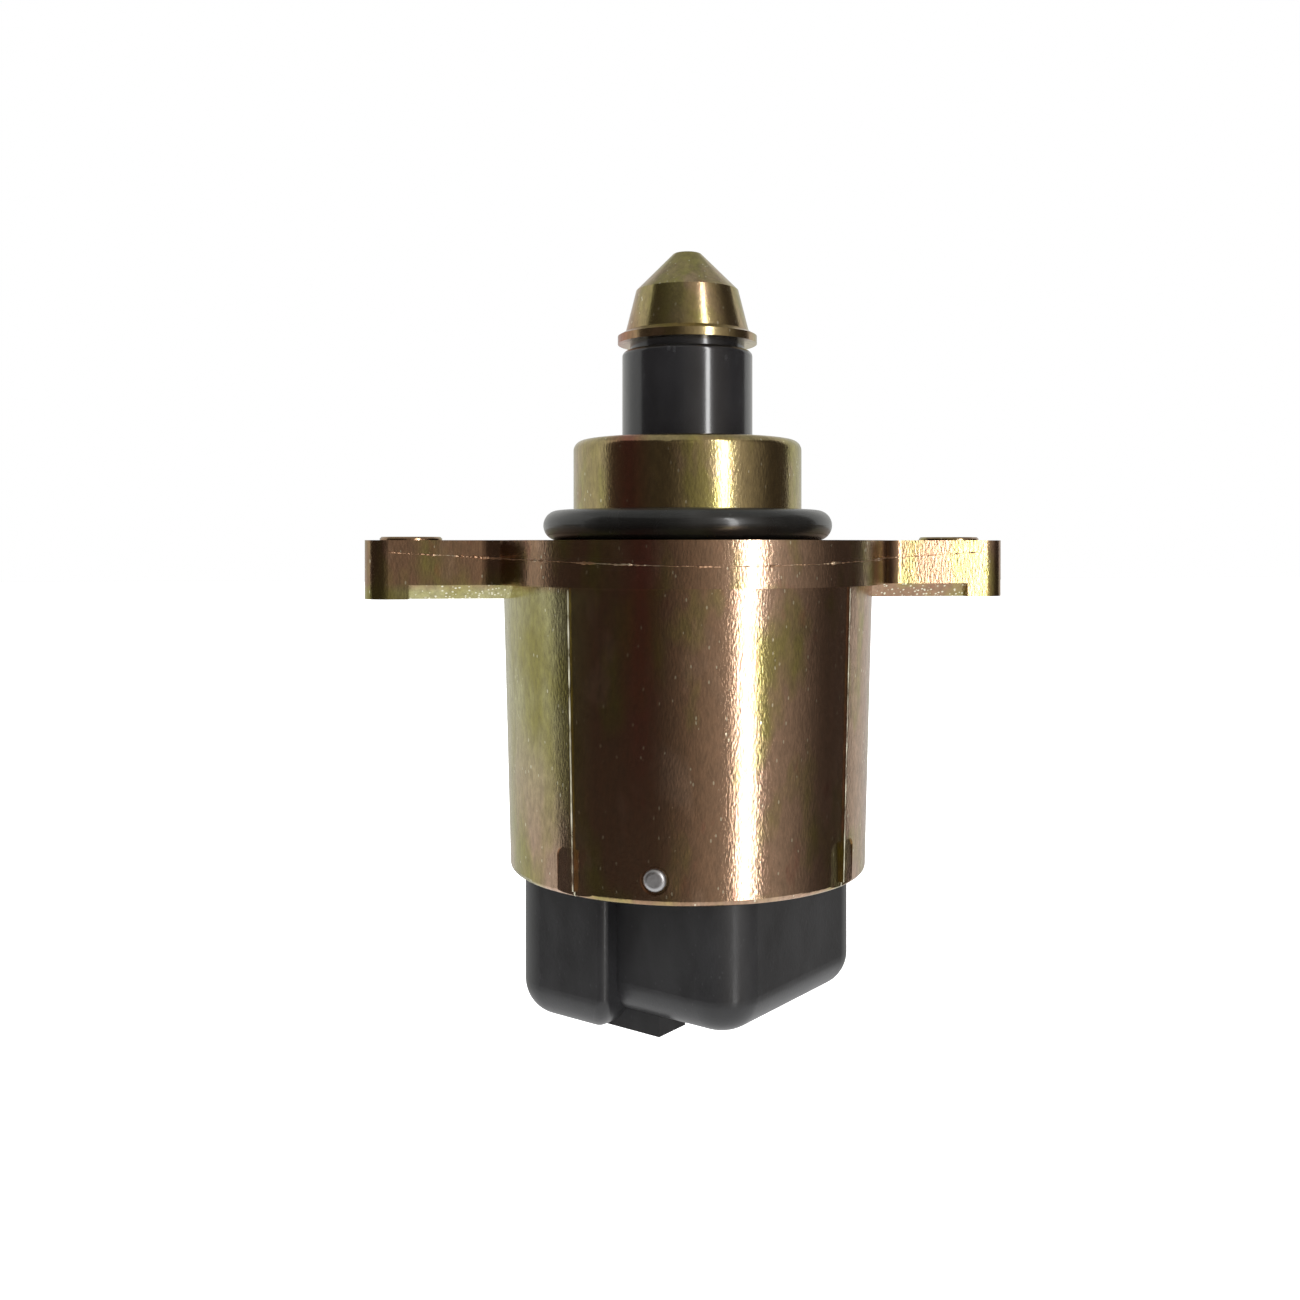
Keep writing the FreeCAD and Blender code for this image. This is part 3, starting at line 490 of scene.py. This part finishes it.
def flange_side(side):
    """Points and outward directions along one long side of the flange, from ear to ear."""
    root_y = EAR_HALF + EAR_ROOT
    root_x = math.sqrt((WAIST_RADIUS + EAR_ROOT) ** 2 - root_y ** 2)
    root_angle = math.atan2(root_y, root_x)
    half = []
    x = FLANGE_END - EAR_CORNER
    while x > root_x:
        half.append((Vector((x, EAR_HALF, 0)), Vector((0, 1, 0))))
        x -= FLASH_STEP
    steps = int(EAR_ROOT * (math.pi / 2 - root_angle) / FLASH_STEP)
    for i in range(steps):
        angle = -math.pi / 2 - (math.pi / 2 - root_angle) * i / steps
        out = Vector((math.cos(angle), math.sin(angle), 0))
        half.append((Vector((root_x, root_y, 0)) + out * EAR_ROOT, -out))
    steps = int(WAIST_RADIUS * (math.pi / 2 - root_angle) / FLASH_STEP)
    for i in range(steps + 1):
        angle = root_angle + (math.pi / 2 - root_angle) * i / steps
        out = Vector((math.cos(angle), math.sin(angle), 0))
        half.append((out * WAIST_RADIUS, out))
    whole = half + [(Vector((-p.x, p.y, 0)), Vector((-d.x, d.y, 0))) for p, d in reversed(half[:-1])]
    return [(Vector((p.x, side * p.y, 0)) * MM, Vector((d.x, side * d.y, 0))) for p, d in whole]


class VALVE_OT_housing(bpy.types.Operator):
    """Chromated finish of the cast housing, and the torn flash along its flange"""
    bl_idname = "valve.housing"
    bl_label = "Housing"

    def execute(self, context):
        assign(["housing"], chromate_material("chromated_casting"))
        self.flash_line()
        return {"FINISHED"}

    def flash_line(self):
        """Torn flash along the long sides of the flange, with a bright broken edge."""
        material = broken_edge_material()
        for side, stem in ((-1, "near"), (1, "far")):
            mesh = bpy.data.meshes.new(f"flash_{stem}")
            bm = bmesh.new()
            rows = [self.flash_section(bm, place, outward, side)
                    for place, outward in flange_side(side)]
            for before, after in zip(rows, rows[1:]):
                for i in range(4):
                    bm.faces.new((before[i], before[(i + 1) % 4], after[(i + 1) % 4], after[i]))
            bm.faces.new(rows[0])
            bm.faces.new(tuple(reversed(rows[-1])))
            bmesh.ops.recalc_face_normals(bm, faces=bm.faces)
            bm.to_mesh(mesh)
            bm.free()
            piece = bpy.data.objects.new(f"flash_{stem}", mesh)
            bpy.context.scene.collection.objects.link(piece)
            mesh.materials.append(material)
            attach(piece, "root")

    def flash_section(self, bm, place, outward, side):
        """One four-cornered section of the torn flash, kept inside the CAD's box."""
        share = min(1.0, abs(place.x) / (FLANGE_END * MM))
        torn = noise.noise(Vector((place.x * 900, side * 7.3, 0)))
        tatter = noise.noise(Vector((place.x * 3800, side * 2.1, 5)))
        sway = noise.noise(Vector((place.x * 1300, side * 4.7, 9)))
        middle = FLASH_MIDDLE + FLASH_RISE * share ** 1.5 + 0.05 * MM * sway
        proud = max(0.012, 0.04 + 0.12 * torn + 0.09 * tatter) * MM
        half = max(0.03, 0.07 + 0.16 * torn + 0.12 * tatter) * MM
        tip = place + outward * proud
        if side < 0:
            tip.y = max(tip.y, CAD_BOX[0][1] + 0.01 * MM)
        else:
            tip.y = min(tip.y, CAD_BOX[1][1] - 0.01 * MM)
        root = place - outward * FLASH_ROOT
        corners = [(root, -half), (tip, -half * 0.4), (tip, half * 0.4), (root, half)]
        return [bm.verts.new((spot.x, spot.y, middle + rise)) for spot, rise in corners]


class VALVE_OT_pintle(bpy.types.Operator):
    """Turned and chromated pintle"""
    bl_idname = "valve.pintle"
    bl_label = "Pintle"

    def execute(self, context):
        assign(["pintle"], chromate_material("chromated_pintle", cast=False))
        return {"FINISHED"}


class VALVE_OT_black_parts(bpy.types.Operator):
    """Plug moulding, plunger sleeve, guide bush and seals"""
    bl_idname = "valve.black_parts"
    bl_label = "Black parts"

    def execute(self, context):
        black = looks("valve_black")
        assign(["connector_housing"],
               moulding_material("plug_moulding", black.moulding, black.grain_size, 0.34, 0.012 * MM,
                                 specular=0.6))
        assign(["plunger_sleeve"],
               moulding_material("sleeve_moulding", black.sleeve, 0.5 * MM, 0.20, 0.002 * MM, coat=0.7))
        assign(["flange_o_ring", "connector_seal_ring"],
               moulding_material("seal_rubber", black.rubber, 0.35 * MM, 0.26, 0.004 * MM, coat=0.35))
        assign(["guide_bush"],
               moulding_material("bush_moulding", black.bush, 0.3 * MM, 0.45, 0.006 * MM))
        return {"FINISHED"}


class VALVE_OT_metal_parts(bpy.types.Operator):
    """Pins, terminals, screw, spring, bearing and washers"""
    bl_idname = "valve.metal_parts"
    bl_label = "Metal parts"

    def execute(self, context):
        inner = looks("valve_inner")
        assign(named("retaining_pin"),
               metal_material("pin_steel", inner.steel, 0.42, depth=0.02 * MM))
        assign(named("terminal"),
               metal_material("tinned_terminal", inner.tin, 0.28, (1, 1, 0.1)))
        assign(["lead_screw"],
               metal_material("rolled_screw", inner.steel, 0.25, (1, 1, 0.2)))
        assign(["return_spring", "wave_washer"],
               metal_material("spring_wire", inner.spring, 0.28))
        assign(["bearing_outer_ring", "bearing_inner_ring"] + named("bearing_ball"),
               metal_material("ground_bearing", inner.ground, 0.14, (0.2, 0.2, 1), 0.001 * MM))
        assign(["spring_seat_washer", "rear_plate"],
               metal_material("pressed_plate", inner.steel, 0.32))
        assign(["bearing_cage", "thrust_washer", "rotor_nut"],
               metal_material("turned_brass", inner.brass, 0.26, (0.2, 0.2, 1)))
        assign(["rear_bush"],
               metal_material("sintered_bronze", inner.bronze, 0.48, depth=0.02 * MM))
        assign(["bearing_carrier"],
               metal_material("cast_carrier", inner.carrier, 0.45, depth=0.015 * MM))
        return {"FINISHED"}


class VALVE_OT_motor_parts(bpy.types.Operator):
    """Stator, bobbins, windings and rotor"""
    bl_idname = "valve.motor_parts"
    bl_label = "Motor parts"

    def execute(self, context):
        inner = looks("valve_inner")
        assign(["upper_stator_cup", "upper_pole_plate", "lower_pole_plate", "lower_stator_cup"],
               metal_material("pressed_stator", inner.steel, 0.34, (1, 1, 0.3)))
        assign(["upper_winding", "lower_winding"],
               metal_material("wound_copper", inner.copper, 0.3, (0.1, 0.1, 1.5), 0.03 * MM))
        assign(["upper_bobbin", "lower_bobbin"],
               moulding_material("bobbin_nylon", inner.nylon, 0.4 * MM, 0.42, 0.006 * MM))
        assign(["rotor_hub"],
               moulding_material("hub_moulding", inner.hub, 0.3 * MM, 0.40, 0.006 * MM))
        assign(["ring_magnet"],
               metal_material("ground_ferrite", inner.ferrite, 0.5, (0.3, 0.3, 1), 0.008 * MM))
        return {"FINISHED"}


# Stage


def camera_axes():
    """Camera place and its right and forward directions, in the axes of the valve."""
    turn = math.radians(CAMERA_TURN)
    forward = Vector((math.sin(turn), math.cos(turn), 0))
    right = Vector((math.cos(turn), -math.sin(turn), 0))
    aside = (PHOTO_WIDTH / 2 - PHOTO_AXIS_COLUMN) * PHOTO_PIXEL
    place = right * aside - forward * PHOTO_FOCAL * PHOTO_PIXEL
    place.z = CAMERA_HEIGHT
    return place, right, forward


def direction(azimuth, elevation=0.0):
    """Direction seen from the valve: azimuth 0 is towards the camera, positive to its right."""
    place, right, forward = camera_axes()
    angle = math.radians(azimuth)
    level = right * math.sin(angle) - forward * math.cos(angle)
    rise = math.radians(elevation)
    return level * math.cos(rise) + Vector((0, 0, math.sin(rise)))


def backdrop_rays(tree):
    """1 for the rays that see the backdrop: the camera's, and those of gloss and glass."""
    seen = tree.nodes.new("ShaderNodeLightPath")
    white = math_node(tree, "MAXIMUM", seen.outputs["Is Camera Ray"], seen.outputs["Is Glossy Ray"])
    return math_node(tree, "MAXIMUM", white, seen.outputs["Is Transmission Ray"])


class VALVE_OT_stage(bpy.types.Operator):
    """Floor, soft light, dim side of the room and camera"""
    bl_idname = "valve.stage"
    bl_label = "Stage"

    def execute(self, context):
        settings = looks("valve_stage")
        self.floor(settings)
        self.world(settings)
        self.room(settings)
        self.lamps()
        self.camera(context)
        context.scene.view_settings.view_transform = "Standard"
        return {"FINISHED"}

    def floor(self, settings):
        """Pale floor that glows to white away from the valve and keeps its shadow near it."""
        bpy.ops.mesh.primitive_plane_add(size=6, location=(0, 0, -settings.floor_drop))
        floor = bpy.context.object
        floor.name = "floor"
        material, tree, principled = new_material("pale_floor")
        specks = noise_value(tree, object_point(tree), 300.0, 4.0)
        share = times(tree, specks, 0.1)
        base = mix_colour(tree, share, tuple(settings.floor), tuple(settings.speckle))
        tree.links.new(base, principled.inputs["Base Color"])
        principled.inputs["Roughness"].default_value = 0.9
        principled.inputs["Emission Color"].default_value = (1, 1, 1, 1)
        length = add_node(tree, "ShaderNodeVectorMath", {0: object_point(tree)}, operation="LENGTH")
        level = ramp(tree, length.outputs["Value"], 0.08, 0.5, 0.35, 1.0)
        glow = times(tree, backdrop_rays(tree), level)
        tree.links.new(glow, principled.inputs["Emission Strength"])
        floor.data.materials.append(material)
        floor.visible_glossy = False

    def world(self, settings):
        """White backdrop with a softer light from it."""
        world = bpy.data.worlds.new("studio")
        bpy.context.scene.world = world
        world.use_nodes = True
        tree = world.node_tree
        background = tree.nodes["Background"]
        background.inputs["Color"].default_value = (1, 1, 1, 1)
        strength = ramp(tree, backdrop_rays(tree), 0.0, 1.0, settings.sky, 1.0)
        tree.links.new(strength, background.inputs["Strength"])

    def room(self, settings):
        """Round wall, dim on the camera's side, and a ceiling, seen only by reflections."""
        mesh = bpy.data.meshes.new("room_side")
        bm = bmesh.new()
        self.wall(bm, ROOM_LEFT, ROOM_RIGHT, 0)
        self.wall(bm, ROOM_RIGHT, 360 + ROOM_LEFT, 1)
        lid = bmesh.ops.create_circle(bm, cap_ends=True, segments=48, radius=ROOM_RADIUS)
        for vertex in lid["verts"]:
            vertex.co.z = ROOM_ABOVE
        for face in {face for vertex in lid["verts"] for face in vertex.link_faces}:
            face.material_index = 2
        bm.to_mesh(mesh)
        bm.free()
        room = bpy.data.objects.new("room_side", mesh)
        bpy.context.scene.collection.objects.link(room)
        for name, tone in (("dim_room", settings.room), ("pale_room", settings.far_side),
                           ("ceiling", settings.ceiling)):
            mesh.materials.append(self.wall_material(name, tuple(tone), tuple(settings.halo)))
        room.visible_camera = False
        room.visible_diffuse = False
        room.visible_shadow = False

    def wall(self, bm, start, end, material_index):
        """Part of the round wall from one azimuth to another."""
        rows = []
        for i in range(ROOM_STEPS + 1):
            aim = direction(start + (end - start) * i / ROOM_STEPS) * ROOM_RADIUS
            rows.append([bm.verts.new((aim.x, aim.y, z)) for z in (-ROOM_BELOW, ROOM_ABOVE)])
        for before, after in zip(rows, rows[1:]):
            face = bm.faces.new((before[0], after[0], after[1], before[1]))
            face.material_index = material_index

    def wall_material(self, name, tone, halo_tone):
        """Cloudy glow of the wall, brighter round the window strip."""
        material, tree, principled = new_material(name)
        darker = tuple(channel * 0.6 for channel in tone[:3]) + (1,)
        shade = mix_colour(tree, noise_value(tree, object_point(tree), 2.0), tone, darker)
        flat = scaled(tree, object_point(tree), (1, 1, 0))
        flat = add_node(tree, "ShaderNodeVectorMath", {0: flat}, operation="NORMALIZE")
        links = {0: flat.outputs[0], 1: tuple(direction(STRIP_AZIMUTH))}
        near = add_node(tree, "ShaderNodeVectorMath", links, operation="DOT_PRODUCT").outputs["Value"]
        halo = math_node(tree, "POWER", ramp(tree, near, math.cos(math.radians(HALO_HALF)), 1.0), 1.6)
        shade = mix_colour(tree, halo, shade, halo_tone)
        principled.inputs["Base Color"].default_value = (0, 0, 0, 1)
        principled.inputs["Roughness"].default_value = 1.0
        principled.inputs["Specular IOR Level"].default_value = 0.0
        tree.links.new(shade, principled.inputs["Emission Color"])
        principled.inputs["Emission Strength"].default_value = 1.0
        return material

    def lamps(self):
        strip = direction(STRIP_AZIMUTH) * STRIP_DISTANCE
        strip.z = STRIP_HEIGHT
        self.lamp("window_strip", strip, width=0.18, height=2.0, power=17.0, upright=True)
        self.lamp("soft_left", direction(-125.0, 30.0) * 0.9, width=0.9, height=0.7, power=7.0)
        self.lamp("soft_top", direction(0.0, 84.0) * 0.8, width=0.8, height=0.8, power=8.0)

    def lamp(self, name, place, width, height, power, upright=False):
        """Rectangular lamp that faces the valve; only the upright one is seen by reflections."""
        light = bpy.data.lights.new(name, "AREA")
        light.shape = "RECTANGLE"
        light.size = width
        light.size_y = height
        light.energy = power
        lamp = bpy.data.objects.new(name, light)
        bpy.context.scene.collection.objects.link(lamp)
        lamp.location = place
        lamp.visible_glossy = upright
        aim = Vector((place.x, place.y, 0)) if upright else place
        lamp.rotation_euler = aim.to_track_quat("Z", "Y").to_euler()

    def camera(self, context):
        """Level camera at the photograph's place, with its frame moved down by lens shift."""
        place, right, forward = camera_axes()
        data = bpy.data.cameras.new("photo_camera")
        data.sensor_width = 36
        data.lens = data.sensor_width * PHOTO_FOCAL / PHOTO_WIDTH
        data.shift_y = (PHOTO_HORIZON - PHOTO_WIDTH / 2) / PHOTO_WIDTH
        data.clip_start = 5 * MM
        data.clip_end = 20
        camera = bpy.data.objects.new("photo_camera", data)
        context.scene.collection.objects.link(camera)
        camera.location = place
        camera.rotation_euler = forward.to_track_quat("-Z", "Y").to_euler()
        context.scene.camera = camera


class VALVE_PT_panel(bpy.types.Panel):
    """Buttons for each step and the settings"""
    bl_label = "Valve"
    bl_space_type = "VIEW_3D"
    bl_region_type = "UI"
    bl_category = "Valve"

    def draw(self, context):
        for operator in OPERATORS:
            self.layout.operator(operator.bl_idname)
        for group in SETTINGS:
            for key in SETTINGS[group].__annotations__:
                self.layout.prop(getattr(context.scene, group), key)


SETTINGS = {
    "valve_chromate": ChromateLooks,
    "valve_black": BlackLooks,
    "valve_inner": InnerLooks,
    "valve_stage": StageLooks,
}
OPERATORS = [
    VALVE_OT_housing,
    VALVE_OT_pintle,
    VALVE_OT_black_parts,
    VALVE_OT_metal_parts,
    VALVE_OT_motor_parts,
    VALVE_OT_stage,
]


def register():
    for group, settings in SETTINGS.items():
        bpy.utils.register_class(settings)
        setattr(bpy.types.Scene, group, bpy.props.PointerProperty(type=settings))
    for item in OPERATORS + [VALVE_PT_panel]:
        bpy.utils.register_class(item)


def unregister():
    for item in reversed(OPERATORS + [VALVE_PT_panel]):
        bpy.utils.unregister_class(item)
    for group, settings in SETTINGS.items():
        delattr(bpy.types.Scene, group)
        bpy.utils.unregister_class(settings)


def main():
    register()
    bpy.ops.valve.housing()
    bpy.ops.valve.pintle()
    bpy.ops.valve.black_parts()
    bpy.ops.valve.metal_parts()
    bpy.ops.valve.motor_parts()
    bpy.ops.valve.stage()


if __name__ == "__main__":
    main()
